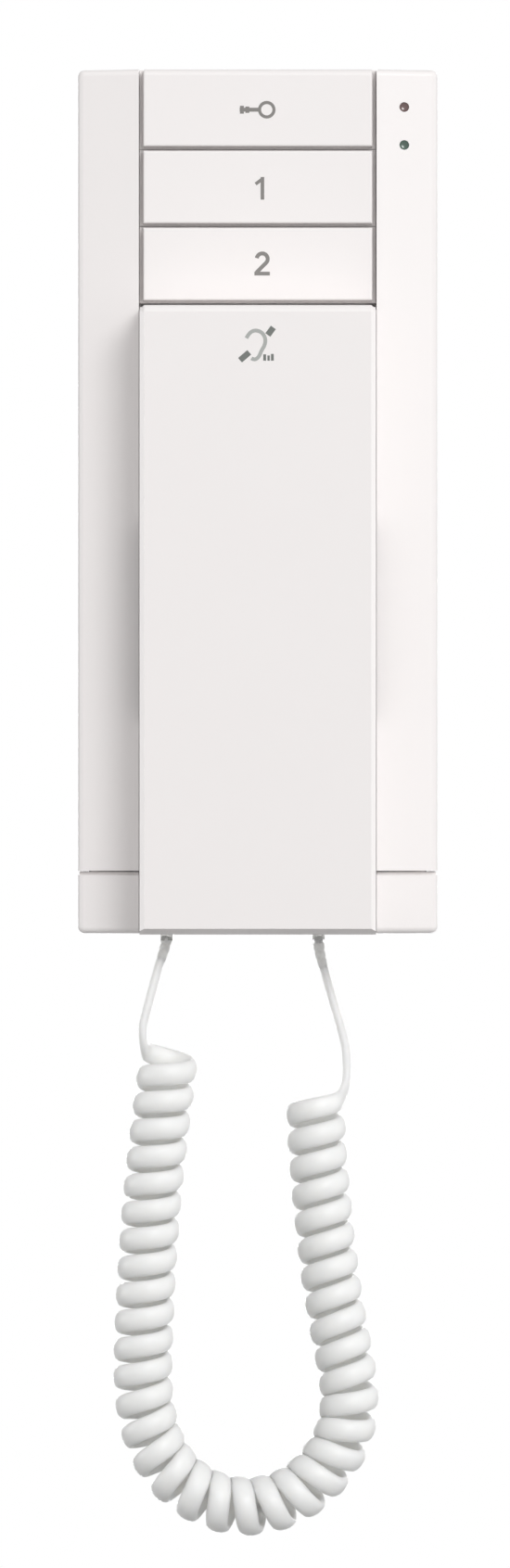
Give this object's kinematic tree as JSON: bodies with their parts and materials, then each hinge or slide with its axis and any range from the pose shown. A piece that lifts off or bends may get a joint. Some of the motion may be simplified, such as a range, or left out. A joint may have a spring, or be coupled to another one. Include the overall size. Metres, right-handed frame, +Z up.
{
  "type": "intercom wall station with corded handset",
  "caption": "White wall-mounted intercom station with bar keys above a flat handset that hangs in a sunk cradle on a curly cord.",
  "frame": {"origin": "centre of the wall face, where the back of the station meets the wall", "axes": "+X to the right as seen from the room, +Y into the wall, +Z up; the front faces -Y"},
  "size_m": [0.092, 0.046, 0.3758],
  "materials": {
    "housing_plastic": "fine satin, white",
    "handset_plastic": "fine satin, white",
    "button_plastic": "fine satin, white",
    "legend_print": "pad-printed, grey",
    "plate_plastic": "matt, white",
    "screw_steel": "zinc plated",
    "board_laminate": "green solder mask",
    "terminal_plastic": "moulded, grey",
    "component_black": "moulded, black",
    "stem_plastic": "moulded, cream",
    "plunger_plastic": "smooth, white",
    "lamp_clear": "clear resin",
    "lamp_red": "dark red, unlit",
    "lamp_green": "dark green, unlit",
    "speaker_black": "black",
    "plate_steel": "zinc plated",
    "plug_plastic": "smoky clear",
    "cord_jacket": "satin, white",
    "coil_copper": "enamelled copper wire",
    "boot_rubber": "matt, black",
    "microphone_can": "satin",
    "magnet_nickel": "nickel plated"
  },
  "bodies": {
    "base": {"front_housing": "housing_plastic", "bottom_strip": "housing_plastic", "wall_plate": "plate_plastic", "housing_screw": "screw_steel", "circuit_board": "board_laminate", "board_screws": "screw_steel", "terminal_block": "terminal_plastic", "board_components": "component_black", "tact_switches": "component_black", "leds": "lamp_clear", "light_pipe_red": "lamp_red", "light_pipe_green": "lamp_green", "call_loudspeaker": "speaker_black", "hook_switch": "component_black", "cradle_steel_plates": "plate_steel", "base_socket": "component_black", "base_plug": "plug_plastic", "cord_coil": "cord_jacket", "base_cord_tail": "cord_jacket"},
    "handset": {"handset_front_shell": "handset_plastic", "handset_back_shell": "handset_plastic", "handset_screws": "screw_steel", "handset_board": "board_laminate", "earpiece_speaker": "speaker_black", "telecoil": "coil_copper", "microphone_boot": "boot_rubber", "microphone": "microphone_can", "handset_magnets": "magnet_nickel", "handset_socket": "component_black", "handset_plug": "plug_plastic", "handset_cord_tail": "cord_jacket"},
    "hook": {"hook_plunger": "plunger_plastic"},
    "button_door_opener": {"button_door_opener": "button_plastic", "switch_stem_door_opener": "stem_plastic"},
    "button_call_1": {"button_call_1": "button_plastic", "switch_stem_call_1": "stem_plastic"},
    "button_call_2": {"button_call_2": "button_plastic", "switch_stem_call_2": "stem_plastic"}
  },
  "joints": [
    {"name": "door_opener_press", "type": "slide", "parent": "base", "child": "button_door_opener", "axis": [0, 1, 0], "range_m": [0, 0.0008], "stiffness_N_per_m": 1500},
    {"name": "call_1_press", "type": "slide", "parent": "base", "child": "button_call_1", "axis": [0, 1, 0], "range_m": [0, 0.0008], "stiffness_N_per_m": 1500},
    {"name": "call_2_press", "type": "slide", "parent": "base", "child": "button_call_2", "axis": [0, 1, 0], "range_m": [0, 0.0008], "stiffness_N_per_m": 1500},
    {"name": "handset_lift", "type": "slide", "parent": "base", "child": "handset", "axis": [0, -1, 0], "range_m": [0, 0.06]},
    {"name": "hook_release", "type": "slide", "parent": "base", "child": "hook", "axis": [0, -1, 0], "range_m": [0, 0.003]}
  ],
  "couplings": [
    {"joint": "hook_release", "follows": "handset_lift", "ratio": 0.049}
  ]
}
